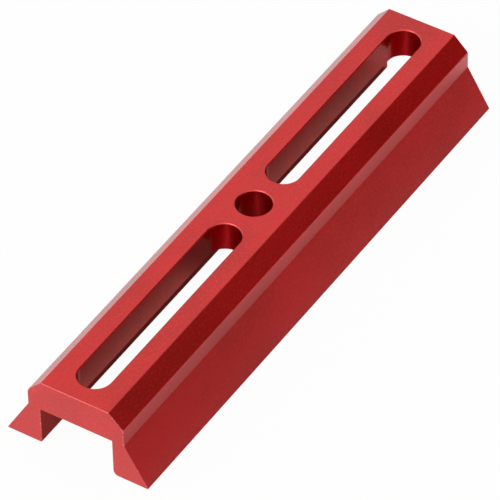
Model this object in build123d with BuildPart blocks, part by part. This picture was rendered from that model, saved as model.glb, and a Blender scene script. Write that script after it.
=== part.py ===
from build123d import *
import os
from math import radians, tan

# Dovetail mounting bar for small optical instruments: one piece of aluminium with
# a flat chamfered top, a short upright neck, two flaring dovetail feet and a square
# channel between them, open at both ends.
# X runs along the bar, Y across it and +Z is up. The origin lies on the plane of the
# feet, under the middle of the centre hole.

# Overall sizes, in millimetres
bar_length = 125.0
bar_height = 16.0
foot_width = 32.0  # between the two dovetail tips, measured to their sharp corners

# Outside of the section
neck_width = 21.6
dovetail_angle = 60.0  # degrees between a dovetail flank and the plane of the feet
top_chamfer = 3.2  # leg of the 45 degree chamfer along each side of the top

# Channel between the feet
channel_width = 16.2
channel_depth = 8.8

# Slots and centre hole, through the web above the channel
slot_width = 7.1
slot_end_margin = 3.65  # metal between a slot and the end of the bar
slot_bridge = 3.6  # metal between a slot and the centre hole
centre_hole_diameter = 7.3

# Rounded corners of the section
top_edge_radius = 0.3
crisp_shoulder_radius = 0.8  # where the -Y top chamfer meets the neck
round_shoulder_radius = 2.2  # the same corner on the +Y side, rounded over
neck_land = 0.1  # least height of flat neck that stays below a rounded shoulder
tip_radius = 0.15
crisp_heel_radius = 0.3  # inner bottom corner of the +Y foot
round_heel_radius = 1.1  # inner bottom corner of the -Y foot, rounded over

# Broken edges
edge_break = 0.1  # ends of the bar, and the lower rim of the hole
rim_break = 0.18  # upper rims of the slots and the hole
slot_underside_chamfer = 0.5

flank_height = (foot_width - neck_width) / 2 * tan(radians(dovetail_angle))
shoulder_height = bar_height - top_chamfer
shoulder_turn = radians(45.0)
largest_shoulder_radius = (shoulder_height - flank_height - neck_land) / tan(shoulder_turn / 2)
slot_inner_end = centre_hole_diameter / 2 + slot_bridge
slot_outer_end = bar_length / 2 - slot_end_margin
slot_length = slot_outer_end - slot_inner_end
slot_centre = (slot_outer_end + slot_inner_end) / 2

with BuildPart() as mounting_bar:
    # Section across the bar: the dovetail with the neck on it
    with BuildSketch(Plane.YZ) as section:
        on_feet = (Align.CENTER, Align.MIN)
        Trapezoid(foot_width, flank_height, dovetail_angle, align=on_feet)
        Rectangle(neck_width, bar_height, align=on_feet)
        chamfer(section.vertices().group_by(Axis.Y)[-1], length=top_chamfer)

        # Outer corners, from the top down
        top_corners = section.vertices().group_by(Axis.Y)[-1]
        fillet(top_corners, radius=top_edge_radius)
        crisp_corner = (-neck_width / 2, shoulder_height)
        crisp_shoulder = section.vertices().sort_by_distance(crisp_corner)[0]
        fillet(crisp_shoulder, radius=min(crisp_shoulder_radius, largest_shoulder_radius))
        round_corner = (neck_width / 2, shoulder_height)
        round_shoulder = section.vertices().sort_by_distance(round_corner)[0]
        fillet(round_shoulder, radius=min(round_shoulder_radius, largest_shoulder_radius))
        tips = section.vertices().group_by(Axis.Y)[0]
        fillet(tips, radius=tip_radius)

        # Channel, and the inner heels of the two feet
        Rectangle(channel_width, channel_depth, align=on_feet, mode=Mode.SUBTRACT)
        round_heel = section.vertices().group_by(Axis.Y)[0].sort_by(Axis.X)[1]
        fillet(round_heel, radius=round_heel_radius)
        crisp_heel = section.vertices().group_by(Axis.Y)[0].sort_by(Axis.X)[2]
        fillet(crisp_heel, radius=crisp_heel_radius)
    extrude(amount=bar_length / 2, both=True)

    # Two long slots in line, with the plain hole between them
    with BuildSketch(Plane.XY.offset(bar_height)):
        with Locations((-slot_centre, 0), (slot_centre, 0)):
            SlotOverall(slot_length, slot_width)
        Circle(centre_hole_diameter / 2)
    extrude(amount=-bar_height, mode=Mode.SUBTRACT)

    # Chamfers round the slots and the hole, above and below the web
    feet, channel_ceiling, top_face = mounting_bar.faces().filter_by(Axis.Z).group_by(Axis.Z)
    upper_rims = top_face[0].inner_wires().edges()
    slot_rim, hole_rim, other_slot_rim = channel_ceiling[0].inner_wires().sort_by(Axis.X)
    chamfer(upper_rims, length=rim_break)
    chamfer(hole_rim.edges(), length=edge_break)
    chamfer(slot_rim.edges() + other_slot_rim.edges(), length=slot_underside_chamfer)

    # Broken edges round both end faces
    end_faces = mounting_bar.faces().filter_by(Axis.X)
    chamfer(end_faces.edges(), length=edge_break)

mounting_bar.part.label = "mounting_bar"
mounting_bar.part.color = Color(0.56, 0.02, 0.02)

os.makedirs("parts", exist_ok=True)
export_step(mounting_bar.part, "parts/mounting_bar.step")
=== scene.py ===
from math import cos, radians, sin

import bpy
from mathutils import Matrix, Vector


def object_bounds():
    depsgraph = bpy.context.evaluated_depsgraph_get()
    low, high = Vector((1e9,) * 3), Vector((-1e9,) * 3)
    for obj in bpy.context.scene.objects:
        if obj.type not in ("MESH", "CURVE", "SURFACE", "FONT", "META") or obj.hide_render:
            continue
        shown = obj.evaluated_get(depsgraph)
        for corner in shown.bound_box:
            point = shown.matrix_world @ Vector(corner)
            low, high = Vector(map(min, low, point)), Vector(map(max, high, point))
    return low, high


# Dovetail mounting bar: one piece of aluminium, blasted and anodised red.
# Everything is in metres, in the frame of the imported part: X along the bar, Y across
# it, Z up, with the feet standing on z = 0. The camera sees the end at -X, called the
# near end here, and the side at -Y, called the right side.

MM = 0.001

# Camera: a long lens, above the near end of the bar and to its right
CAMERA_AIM = Vector((-4.43, -1.71, 8.0)) * MM
CAMERA_AZIMUTH = -56.457
CAMERA_ELEVATION = 43.385
CAMERA_ROLL = -1.481
CAMERA_DISTANCE = 1097.03 * MM
CAMERA_LENS = 407.87  # in millimetres, like the sensor's width
SENSOR_WIDTH = 36.0
CLIP_START = 0.01
CLIP_END = 50.0

# Room: white for the camera, and otherwise pale, brighter towards one side and dark
# in a round patch on the other
ROOM_LIGHT = 0.81
BRIGHT_AZIMUTH = -129.0
BRIGHT_SHARE = 0.4
DARK_AZIMUTH = 65.0
DARK_ELEVATION = -15.0
DARK_INNER = 37.0
DARK_OUTER = 72.0

# Small key light that glints along the broken edges
KEY_AZIMUTH = -98.0
KEY_ELEVATION = 38.0
KEY_DISTANCE = 1.1
KEY_WIDTH = 1.0
KEY_HEIGHT = 0.35
KEY_POWER = 2.2

# Floor: white paper for the camera, with a little of the bar's shadow
FLOOR_SIZE = 8.0
FLOOR_Z = -0.00005
PAPER_WHITE = 0.9
WHITE_TO_CAMERA = 0.96
WHITE = (1.0, 1.0, 1.0, 1.0)

# Painted light and shade on the floor, seen only in the metal's reflections: whitest on the
# left, painted shade close to the right side and the far end, and grey beyond the paper's
# edge on the right
LEFT_LEVEL = 1.0
RIGHT_LEVEL = 0.90
SHADE_LEVEL = 0.46
NEAR_END_LEVEL = 0.92
LEFT_TABLE_LEVEL = 1.0
RIGHT_TABLE_LEVEL = 0.46
FOOT_STEP = 0.0004
SHADE_FROM = 0.002
SHADE_TO = 0.013
PAPER_EDGE_FROM = 0.018
PAPER_EDGE_TO = 0.035

# Painted shade on the floor under the bar, seen in the metal: dark and a little warm, darkest
# beside the legs, with painted light from both open ends of the channel
UNDER_LEVEL = 0.135
LEG_SIDE_LEVEL = 0.10
LEG_SIDE_FROM = 0.0035
LEG_SIDE_TO = 0.0075
NEAR_MOUTH_LEVEL = 0.30
FAR_MOUTH_LEVEL = 0.12
MOUTH_DEPTH = 0.020
UNDER_WARM = (1.0, 0.89, 0.76, 1.0)

# A painted pool of light on the floor: light that falls through the slots on to a line under
# the bar, and fades to both sides of it and towards the middle of the bar
SLOT_LIGHT = 0.45
SLOT_LIGHT_LINE = -0.0018
SLOT_LIGHT_LEFT = 0.0045
SLOT_LIGHT_RIGHT = 0.0050
SLOT_LIGHT_FROM = 0.004
SLOT_LIGHT_TO = 0.013

# Places on the bar, as distances from the middle of its feet. The milled faces lie in
# the channel, and in the slots and the hole above it. The ends and the upper rims of
# the slots and the hole have broken edges.
MILLED_X = 0.0623
CHANNEL_Y = 0.0082
CHANNEL_Z = 0.0089
SLOT_Y = 0.0038
SLOT_Z = 0.0158
BREAK_X = 0.0624
RIM_Z = 0.01582

# The way a face looks tells how it was made. Each of these is the size of its normal
# along one axis, or two where one kind of face goes over into another.
UPRIGHT = 0.4
SLANTED = 0.9
END_FACING = (0.9, 0.98)
FLANK_FACING = (0.75, 0.82)
ROUND_FACING = (0.1, 0.4)
THIN_COAT_FACING = (0.1, 0.5)

# Marks in the surface, as cells per metre along X, Y and Z, and their depth in metres
BLAST_CELLS = (3600, 3600, 3600)
BLAST_DEPTH = 0.000012
DRAW_CELLS = (40, 2400, 2400)
DRAW_DEPTH = 0.000005
END_CELLS = (400, 90, 2600)
END_DEPTH = 0.000006
RING_CELLS = (160, 160, 5600)
RING_DEPTH = 0.000036
NICK_CELLS = (1700, 1700, 1700)
NICK_DEPTH = 0.00006

# Finer layers inside each cell of noise, and the noise's middle
DETAIL = 2.0
PLAIN_DETAIL = 1.0
CLOUD_DETAIL = 3.0
NOISE_MIDDLE = 0.5

# Dye: a little deeper in clouds, in specks and unevenly on the milled walls, and crimson
# on the round walls. The ends are made darker and the flanks lighter; the lighter flanks are
# painted light, and the pale glitter specks are painted sparkle.
DYE_RED = (0.89, 0.008, 0.006, 1.0)
DEEP_RED = (0.73, 0.007, 0.001, 1.0)
ROUND_RED = (0.75, 0.002, 0.016, 1.0)
GLITTER_RED = (0.86, 0.22, 0.22, 1.0)
SPECK_CELLS = (2200, 2200, 2200)
CLOUD_CELLS = (55, 90, 90)
CLOUD_RANGE = (0.3, 0.7)
CLOUD_DYE = 0.5
CHATTER_CELLS = (420, 420, 40)
END_DARKENING = 0.22
FLANK_PAINTED_LIGHT = -0.2
DYE_RANGE = (0.45, 1.05)
ROUND_SHARE = 0.85
GLITTER_RANGE = (0.50, 0.35)
GLITTER_SHARE = 0.065

# Worn places, whose pale colour stands in partly for the pink of glints (painted highlight):
# edges rubbed in spots, most at the ends of the bar, and the broken edges. A rounded normal
# that departs from the face's own tells where an edge is near.
WORN_AND_GLINT_RED = (0.74, 0.045, 0.043, 1.0)
EDGE_RADIUS = 0.00025
EDGE_SAMPLES = 4
EDGE_RANGE = (0.96, 0.80)
RUBBED_RANGE = (0.5, 0.6)
WEAR_AND_GLINT_FROM = 0.0600
WEAR_AND_GLINT_TO = 0.0620
WEAR_AND_GLINT_ALONG = 0.3

# Painted glints: light dots on the edges of the ends, placed by the nick noise, and a thin
# painted highlight round the ends, below the top edge. Most dots are at the heights of the
# shoulder and the waist.
PAINTED_GLINT_RED = (1.0, 0.22, 0.215, 1.0)
GLINT_DOT_RANGE = (0.58, 0.62)
GLINT_DOT_HEIGHTS = (0.0128, 0.0090)
GLINT_DOT_REACH = 0.0008
GLINT_DOT_SHARE = 0.18
GLINT_BORDER_RANGE = (0.99, 0.93)
GLINT_BORDER_SHARE = 0.22

# Gloss of the metal and of the clear hard layer on it, which is thin on milled faces
BLAST_ROUGHNESS = 0.50
FLANK_ROUGHNESS = 0.58
MILLED_ROUGHNESS = 0.36
GRAIN_ROUGHNESS = 0.12
GRAZING_RED = (0.08, 0.02, 0.02, 1.0)
MILLED_COAT = 0.6
ROUND_COAT = 0.20
COAT_ROUGHNESS = 0.2
COAT_IOR = 1.6


def direction(azimuth, elevation):
    """Towards a place round the bar: azimuth 0 is seen from -Y, 90 from +X."""
    a, e = radians(azimuth), radians(elevation)
    return Vector((sin(a) * cos(e), -cos(a) * cos(e), sin(e)))


def looking_at(place, aim, roll=0.0):
    """A turn that points a camera or a lamp from its place to its aim."""
    turn = (aim - place).to_track_quat("-Z", "Y").to_matrix().to_4x4()
    return Matrix.Translation(place) @ turn @ Matrix.Rotation(radians(roll), 4, "Z")


class Recipe:
    """The nodes of one material or of the room. Where a value is asked for, it may be
    a number or another node's output."""

    def __init__(self, owner):
        owner.use_nodes = True
        self.nodes = owner.node_tree.nodes
        self.links = owner.node_tree.links

    def put(self, value, socket):
        if isinstance(value, bpy.types.NodeSocket):
            self.links.new(value, socket)
        else:
            socket.default_value = value

    def fill(self, node, values):
        for socket, value in zip(node.inputs, values):
            self.put(value, socket)

    def math(self, operation, *values):
        node = self.nodes.new("ShaderNodeMath")
        node.operation = operation
        self.fill(node, values)
        return node.outputs[0]

    def vector(self, operation, *values):
        node = self.nodes.new("ShaderNodeVectorMath")
        node.operation = operation
        self.fill(node, values)
        return node.outputs["Value" if operation in ("LENGTH", "DOT_PRODUCT") else "Vector"]

    def add(self, first, second):
        return self.math("ADD", first, second)

    def times(self, first, second):
        return self.math("MULTIPLY", first, second)

    def times_plus(self, value, factor, base):
        return self.math("MULTIPLY_ADD", value, factor, base)

    def minus(self, first, second):
        return self.math("SUBTRACT", first, second)

    def most(self, first, second):
        return self.math("MAXIMUM", first, second)

    def below(self, value, limit):
        return self.math("LESS_THAN", value, limit)

    def above(self, value, limit):
        return self.math("GREATER_THAN", value, limit)

    def ramp(self, value, span, low=0.0, high=1.0):
        """Goes smoothly from low to high while the value crosses the span."""
        node = self.nodes.new("ShaderNodeMapRange")
        node.interpolation_type = "SMOOTHSTEP"
        self.fill(node, (value, *span, low, high))
        return node.outputs["Result"]

    def split(self, vector):
        """The X, Y and Z of a vector."""
        node = self.nodes.new("ShaderNodeSeparateXYZ")
        self.links.new(vector, node.inputs[0])
        return node.outputs["X"], node.outputs["Y"], node.outputs["Z"]

    def noise(self, place, cells, detail=DETAIL):
        """Noise from 0 to 1, with its number of cells per metre along X, Y and Z."""
        node = self.nodes.new("ShaderNodeTexNoise")
        self.links.new(self.vector("MULTIPLY", place, cells), node.inputs["Vector"])
        node.inputs["Scale"].default_value = 1.0
        node.inputs["Detail"].default_value = detail
        return node.outputs["Fac"]

    def bump(self, height, distance):
        """A normal that follows a height, which is a share of the distance."""
        node = self.nodes.new("ShaderNodeBump")
        node.inputs["Strength"].default_value = 1.0
        node.inputs["Distance"].default_value = distance
        self.links.new(height, node.inputs["Height"])
        return node.outputs["Normal"]

    def mixed_colour(self, share, first, second):
        node = self.nodes.new("ShaderNodeMix")
        node.data_type = "RGBA"
        sockets = {socket.identifier: socket for socket in node.inputs}
        self.put(share, sockets["Factor_Float"])
        self.put(first, sockets["A_Color"])
        self.put(second, sockets["B_Color"])
        return next(one for one in node.outputs if one.identifier == "Result_Color")

    def mixed_shader(self, share, first, second):
        node = self.nodes.new("ShaderNodeMixShader")
        self.put(share, node.inputs["Fac"])
        self.links.new(first, node.inputs[1])
        self.links.new(second, node.inputs[2])
        return node.outputs[0]


def add_camera():
    data = bpy.data.cameras.new("camera")
    data.sensor_width = SENSOR_WIDTH
    data.lens = CAMERA_LENS
    data.clip_start = CLIP_START
    data.clip_end = CLIP_END
    camera = bpy.data.objects.new("camera", data)
    bpy.context.scene.collection.objects.link(camera)
    place = CAMERA_AIM + direction(CAMERA_AZIMUTH, CAMERA_ELEVATION) * CAMERA_DISTANCE
    camera.matrix_world = looking_at(place, CAMERA_AIM, CAMERA_ROLL)
    bpy.context.scene.camera = camera
    bpy.context.scene.view_settings.view_transform = "Standard"


def add_key_light():
    data = bpy.data.lights.new("key", "AREA")
    data.shape = "RECTANGLE"
    data.size = KEY_WIDTH
    data.size_y = KEY_HEIGHT
    data.energy = KEY_POWER
    lamp = bpy.data.objects.new("key", data)
    bpy.context.scene.collection.objects.link(lamp)
    place = direction(KEY_AZIMUTH, KEY_ELEVATION) * KEY_DISTANCE
    lamp.matrix_world = looking_at(place, Vector((0, 0, 0)))


def add_room():
    world = bpy.data.worlds.new("pale_room")
    bpy.context.scene.world = world
    room = Recipe(world)
    room.nodes.clear()
    way = room.nodes.new("ShaderNodeTexCoord").outputs["Generated"]
    to_bright = room.vector("DOT_PRODUCT", way, direction(BRIGHT_AZIMUTH, 0.0))
    pale = room.times_plus(to_bright, ROOM_LIGHT * BRIGHT_SHARE, ROOM_LIGHT)
    to_dark = room.vector("DOT_PRODUCT", way, direction(DARK_AZIMUTH, DARK_ELEVATION))
    dark_edge = (cos(radians(DARK_OUTER)), cos(radians(DARK_INNER)))
    level = room.times(pale, room.ramp(to_dark, dark_edge, 1.0, 0.0))
    camera = room.nodes.new("ShaderNodeLightPath").outputs["Is Camera Ray"]
    background = room.nodes.new("ShaderNodeBackground")
    background.inputs["Color"].default_value = WHITE
    strength = room.times_plus(level, room.minus(1.0, camera), camera)
    room.links.new(strength, background.inputs["Strength"])
    output = room.nodes.new("ShaderNodeOutputWorld")
    room.links.new(background.outputs[0], output.inputs["Surface"])


def level_under_bar(paper, place, near_end):
    """Painted shade and light on the floor that the bar covers, as the metal sees it."""
    x, y, _ = paper.split(place)
    from_middle, from_axis, _ = paper.split(paper.vector("ABSOLUTE", place))

    beside_legs = (LEG_SIDE_FROM, LEG_SIDE_TO)
    level = paper.ramp(from_axis, beside_legs, UNDER_LEVEL, LEG_SIDE_LEVEL)
    mouths = (
        (near_end, near_end + MOUTH_DEPTH, NEAR_MOUTH_LEVEL),
        (-near_end, -near_end - MOUTH_DEPTH, FAR_MOUTH_LEVEL),
    )
    for end, inside, mouth in mouths:
        level = paper.ramp(x, (inside, end), level, mouth)

    # Painted pool of light from the slots, added to the painted shade under the bar
    line = SLOT_LIGHT_LINE
    through = paper.ramp(from_middle, (SLOT_LIGHT_FROM, SLOT_LIGHT_TO))
    for edge in (line + SLOT_LIGHT_LEFT, line - SLOT_LIGHT_RIGHT):
        through = paper.times(through, paper.ramp(y, (edge, line)))
    return paper.times_plus(through, SLOT_LIGHT, level)


def floor_level(paper, place, distance, bar_box):
    """Painted light and shade on the floor as the metal sees it, from its distance to the
    bar.
    """
    near_end, foot = bar_box[0][0], bar_box[1][1]
    x, y, _ = paper.split(place)
    on_left = paper.ramp(y, (foot - FOOT_STEP, foot + SHADE_FROM))
    lit = paper.most(on_left, paper.ramp(x, (near_end + SHADE_FROM, near_end)))
    shade = paper.times_plus(lit, NEAR_END_LEVEL - SHADE_LEVEL, SHADE_LEVEL)
    side = paper.times_plus(on_left, LEFT_LEVEL - RIGHT_LEVEL, RIGHT_LEVEL)
    table = paper.times_plus(on_left, LEFT_TABLE_LEVEL - RIGHT_TABLE_LEVEL, RIGHT_TABLE_LEVEL)

    level = paper.ramp(distance, (SHADE_FROM, SHADE_TO), shade, side)
    under = level_under_bar(paper, place, near_end)
    level = paper.ramp(distance, (0.0, FOOT_STEP), under, level)
    return paper.ramp(distance, (PAPER_EDGE_FROM, PAPER_EDGE_TO), level, table)


def white_paper(bar_box):
    material = bpy.data.materials.new("white_paper")
    paper = Recipe(material)
    paper.nodes.clear()

    # How far a place lies outside the rectangle that the bar covers
    place = paper.nodes.new("ShaderNodeTexCoord").outputs["Object"]
    reach = (bar_box[1][0] - FOOT_STEP, bar_box[1][1], 0.0)
    outside = paper.vector("SUBTRACT", paper.vector("ABSOLUTE", place), reach)
    outside = paper.vector("MAXIMUM", outside, (0.0, 0.0, 0.0))
    distance = paper.vector("LENGTH", outside)

    # White for the camera, and the floor's painted light and shade for what the metal mirrors
    path = paper.nodes.new("ShaderNodeLightPath")
    camera = path.outputs["Is Camera Ray"]
    mirrored = paper.most(path.outputs["Is Glossy Ray"], path.outputs["Is Transmission Ray"])
    level = floor_level(paper, place, distance, bar_box)
    uncovered = paper.most(camera, paper.ramp(distance, (0.0, FOOT_STEP)))
    glow = paper.nodes.new("ShaderNodeEmission")
    paper.links.new(paper.most(level, camera), glow.inputs["Strength"])
    tint = paper.mixed_colour(uncovered, UNDER_WARM, WHITE)
    paper.links.new(tint, glow.inputs["Color"])

    # The rest is plain paper, which takes the bar's shadow. It is clear from below.
    plain = paper.nodes.new("ShaderNodeBsdfDiffuse")
    plain.inputs["Color"].default_value = (PAPER_WHITE, PAPER_WHITE, PAPER_WHITE, 1.0)
    share = paper.times_plus(camera, WHITE_TO_CAMERA, mirrored)
    sheet = paper.mixed_shader(share, plain.outputs[0], glow.outputs[0])
    clear = paper.nodes.new("ShaderNodeBsdfTransparent")
    from_below = paper.nodes.new("ShaderNodeNewGeometry").outputs["Backfacing"]
    output = paper.nodes.new("ShaderNodeOutputMaterial")
    one_sided = paper.mixed_shader(from_below, sheet, clear.outputs[0])
    paper.links.new(one_sided, output.inputs["Surface"])
    return material


def add_floor(bar_box):
    bpy.ops.mesh.primitive_plane_add(size=FLOOR_SIZE, location=(0, 0, FLOOR_Z))
    floor = bpy.context.object
    floor.name = "floor"
    bpy.ops.object.transform_apply(location=True)
    floor.data.materials.append(white_paper(bar_box))


class BarFaces:
    """Where each kind of face of the bar lies, as shares from 0 to 1, with the facing
    and the distances that tell it."""

    def __init__(self, finish, place, normal):
        self.facing_x, facing_y, facing_z = finish.split(finish.vector("ABSOLUTE", normal))
        self.x, y, self.z = finish.split(finish.vector("ABSOLUTE", place))

        # Milled faces of the channel, the slots and the hole, and their upright walls
        cuts = []
        for wide, high in ((CHANNEL_Y, CHANNEL_Z), (SLOT_Y, SLOT_Z)):
            cuts.append(finish.times(finish.below(y, wide), finish.below(self.z, high)))
        self.milled = finish.times(finish.most(*cuts), finish.below(self.x, MILLED_X))
        self.wall = finish.times(self.milled, finish.below(facing_z, UPRIGHT))
        rounding = finish.ramp(self.facing_x, ROUND_FACING)
        self.round_wall = finish.times(self.wall, rounding)

        # Sawn ends, and the drawn sides with their two flanks
        end = finish.ramp(self.facing_x, END_FACING)
        self.end = finish.times(end, finish.minus(1.0, self.milled))
        self.side = finish.minus(1.0, finish.most(self.end, self.wall))
        self.flank = finish.times(finish.ramp(facing_y, FLANK_FACING), self.side)

        # Broken edges at the ends, and round the ends of the slots and the hole
        at_end = finish.above(self.x, BREAK_X)
        self.end_break = finish.times(at_end, finish.below(self.facing_x, SLANTED))
        rim = finish.times(finish.above(self.z, RIM_Z), finish.below(facing_z, SLANTED))
        rim = finish.times(rim, finish.below(y, SLOT_Y))
        self.round_rim = finish.times(rim, rounding)


def marked_surface(finish, faces, place, blast, nicks):
    """Blast grain all over, draw lines on the sides, cutter marks on the ends, rings
    round the milled walls, and nicks in the broken edges."""
    height = finish.times(blast, BLAST_DEPTH)
    layers = (
        (finish.noise(place, DRAW_CELLS), DRAW_DEPTH, faces.side),
        (finish.noise(place, END_CELLS), END_DEPTH, faces.end),
        (finish.noise(place, RING_CELLS, PLAIN_DETAIL), RING_DEPTH, faces.wall),
        (nicks, NICK_DEPTH, faces.end_break),
    )
    for marks, depth, zone in layers:
        height = finish.times_plus(finish.times(marks, depth), zone, height)
    return finish.bump(height, 1.0)


def dye_and_painted_light_colour(finish, faces, place, specks):
    clouds = finish.noise(place, CLOUD_CELLS, CLOUD_DETAIL)
    chatter = finish.noise(place, CHATTER_CELLS)
    depth = finish.add(specks, finish.ramp(clouds, CLOUD_RANGE, 0.0, CLOUD_DYE))
    depth = finish.times_plus(finish.minus(chatter, NOISE_MIDDLE), faces.wall, depth)
    # Ends made darker
    depth = finish.times_plus(faces.end, END_DARKENING, depth)
    # Flanks made lighter: painted light
    depth = finish.times_plus(faces.flank, FLANK_PAINTED_LIGHT, depth)
    colour = finish.mixed_colour(finish.ramp(depth, DYE_RANGE), DYE_RED, DEEP_RED)
    round_share = finish.times(faces.round_wall, ROUND_SHARE)
    colour = finish.mixed_colour(round_share, colour, ROUND_RED)
    # Pale glitter specks: painted sparkle of the blast grain
    glitter = finish.ramp(specks, GLITTER_RANGE, 0.0, GLITTER_SHARE)
    return finish.mixed_colour(glitter, colour, GLITTER_RED)


def worn_and_glint_colour(finish, faces, colour, specks, nicks):
    rounded = finish.nodes.new("ShaderNodeBevel")
    rounded.samples = EDGE_SAMPLES
    rounded.inputs["Radius"].default_value = EDGE_RADIUS
    own = finish.nodes.new("ShaderNodeNewGeometry").outputs["True Normal"]
    alike = finish.vector("DOT_PRODUCT", rounded.outputs["Normal"], own)
    at_end = finish.ramp(faces.x, (WEAR_AND_GLINT_FROM, WEAR_AND_GLINT_TO), WEAR_AND_GLINT_ALONG, 1.0)

    # Rubbed edges, and the broken edges pale all over: partly wear, partly the pink of their
    # glints (painted highlight)
    rubbed = finish.times(finish.ramp(specks, RUBBED_RANGE), at_end)
    worn_and_glint_pale = finish.times(finish.ramp(alike, EDGE_RANGE), rubbed)
    worn_and_glint_pale = finish.most(worn_and_glint_pale, finish.most(faces.end_break, faces.round_rim))
    colour = finish.mixed_colour(worn_and_glint_pale, colour, WORN_AND_GLINT_RED)

    # Painted glints on the ends: light dots placed by the nick noise, most at the shoulder
    # and the waist, and a thin painted highlight round the ends
    for height in GLINT_DOT_HEIGHTS:
        away = finish.math("ABSOLUTE", finish.minus(faces.z, height))
        nicks = finish.add(nicks, finish.ramp(away, (GLINT_DOT_REACH, 0.0), 0.0, GLINT_DOT_SHARE))
    glint_border = finish.ramp(alike, GLINT_BORDER_RANGE)
    at_edge = finish.most(glint_border, faces.end_break)
    glint_dots = finish.times(at_edge, finish.ramp(nicks, GLINT_DOT_RANGE))
    glint_dots = finish.times(glint_dots, finish.below(faces.z, RIM_Z))
    glint_border = finish.times(glint_border, finish.times(faces.end, GLINT_BORDER_SHARE))
    painted_glints = finish.times(at_end, finish.most(glint_dots, glint_border))
    return finish.mixed_colour(painted_glints, colour, PAINTED_GLINT_RED)


def metal_roughness(finish, faces, blast):
    milled = MILLED_ROUGHNESS - BLAST_ROUGHNESS
    flank = FLANK_ROUGHNESS - BLAST_ROUGHNESS
    rough = finish.times_plus(faces.milled, milled, BLAST_ROUGHNESS)
    rough = finish.times_plus(faces.flank, flank, rough)
    return finish.times_plus(finish.minus(blast, NOISE_MIDDLE), GRAIN_ROUGHNESS, rough)


def anodised_red():
    """A clear hard layer over dyed, blasted aluminium."""
    material = bpy.data.materials.new("red_anodised_aluminium_finish")
    finish = Recipe(material)
    shader = finish.nodes["Principled BSDF"]
    where = finish.nodes.new("ShaderNodeTexCoord")
    place = where.outputs["Object"]
    faces = BarFaces(finish, place, where.outputs["Normal"])
    blast = finish.noise(place, BLAST_CELLS)
    specks = finish.noise(place, SPECK_CELLS)
    nicks = finish.noise(place, NICK_CELLS, PLAIN_DETAIL)

    colour = dye_and_painted_light_colour(finish, faces, place, specks)
    colour = worn_and_glint_colour(finish, faces, colour, specks, nicks)
    thinned = finish.ramp(
        faces.facing_x, THIN_COAT_FACING, MILLED_COAT - 1.0, ROUND_COAT - 1.0
    )
    varied = {
        "Base Color": colour,
        "Roughness": metal_roughness(finish, faces, blast),
        "Normal": marked_surface(finish, faces, place, blast, nicks),
        "Coat Weight": finish.times_plus(faces.milled, thinned, 1.0),
        "Coat Normal": finish.bump(blast, BLAST_DEPTH),
    }
    for name, value in varied.items():
        finish.links.new(value, shader.inputs[name])
    shader.inputs["Metallic"].default_value = 1.0
    shader.inputs["Specular Tint"].default_value = GRAZING_RED
    shader.inputs["Coat Roughness"].default_value = COAT_ROUGHNESS
    shader.inputs["Coat IOR"].default_value = COAT_IOR
    return material


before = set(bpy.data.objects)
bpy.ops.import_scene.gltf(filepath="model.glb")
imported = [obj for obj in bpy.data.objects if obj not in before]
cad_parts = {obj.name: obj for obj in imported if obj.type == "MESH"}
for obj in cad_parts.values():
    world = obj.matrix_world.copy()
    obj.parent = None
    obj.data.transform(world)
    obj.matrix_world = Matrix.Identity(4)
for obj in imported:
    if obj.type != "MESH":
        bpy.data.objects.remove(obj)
cad_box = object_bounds()
bpy.ops.object.select_all(action="DESELECT")

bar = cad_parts["mounting_bar"]
bar.material_slots[0].material = anodised_red()

add_floor(cad_box)
add_room()
add_key_light()
add_camera()
